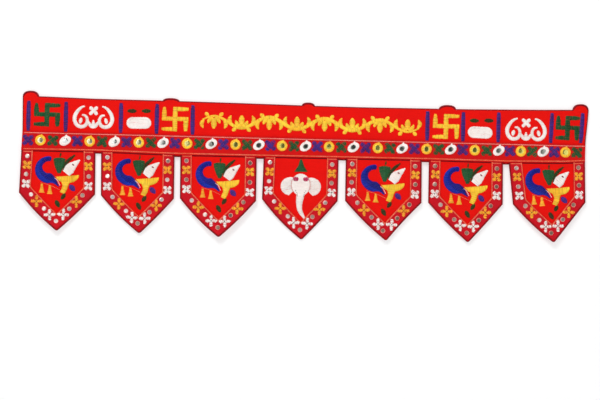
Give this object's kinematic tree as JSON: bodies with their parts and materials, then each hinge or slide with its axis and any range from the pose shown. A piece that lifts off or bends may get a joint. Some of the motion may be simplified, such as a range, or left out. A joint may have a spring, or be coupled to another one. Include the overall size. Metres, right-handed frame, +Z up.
{
  "type": "toran door hanging",
  "caption": "Embroidered cloth valance for the top of a doorway, with a mirror-work strip and a row of pointed, bordered pennants along its foot.",
  "frame": {"origin": "middle of the header's top edge, on the plane of its front face", "axes": "+X along the header towards the viewer's right, +Z up, and the embroidered front faces -Y"},
  "size_m": [0.9159, 0.0102, 0.2325],
  "materials": {
    "red_cotton": "plain woven cotton, matt",
    "strip_cotton": "plain woven cotton, matt",
    "crimson_tape": "close woven tape, faint sheen",
    "hem_edge": "turned and overlocked cloth edge",
    "yellow_thread": "satin stitch in glossy rayon floss",
    "white_thread": "satin stitch in glossy rayon floss",
    "blue_thread": "satin stitch in glossy rayon floss",
    "violet_thread": "satin stitch in glossy rayon floss",
    "green_thread": "satin stitch in glossy rayon floss",
    "rose_thread": "satin stitch in glossy rayon floss",
    "seam_thread": "chain stitch in soft cotton",
    "mirror_glass": "thin silvered glass, polished"
  },
  "bodies": {
    "root": {"header_panel": "red_cotton", "mirror_band": "strip_cotton", "mirror_01": "yellow_thread", "mirror_02": "white_thread", "mirror_03": "yellow_thread", "mirror_04": "white_thread", "mirror_05": "yellow_thread", "mirror_06": "white_thread", "mirror_07": "yellow_thread", "mirror_08": "white_thread", "mirror_09": "yellow_thread", "mirror_10": "white_thread", "mirror_11": "yellow_thread", "mirror_12": "white_thread", "mirror_13": "yellow_thread", "mirror_14": "white_thread", "mirror_15": "yellow_thread", "mirror_16": "white_thread", "mirror_17": "yellow_thread", "mirror_18": "white_thread", "mirror_19": "yellow_thread", "mirror_20": "white_thread", "mirror_21": "yellow_thread", "mirror_22": "white_thread", "mirror_23": "yellow_thread", "pennant_1_cloth": "red_cotton", "pennant_2_cloth": "red_cotton", "pennant_3_cloth": "red_cotton", "pennant_4_cloth": "red_cotton", "pennant_5_cloth": "red_cotton", "pennant_6_cloth": "red_cotton", "pennant_7_cloth": "red_cotton", "pennant_1_border": "crimson_tape", "pennant_2_border": "crimson_tape", "pennant_3_border": "crimson_tape", "pennant_4_border": "crimson_tape", "pennant_5_border": "crimson_tape", "pennant_6_border": "crimson_tape", "pennant_7_border": "crimson_tape"}
  },
  "joints": []
}
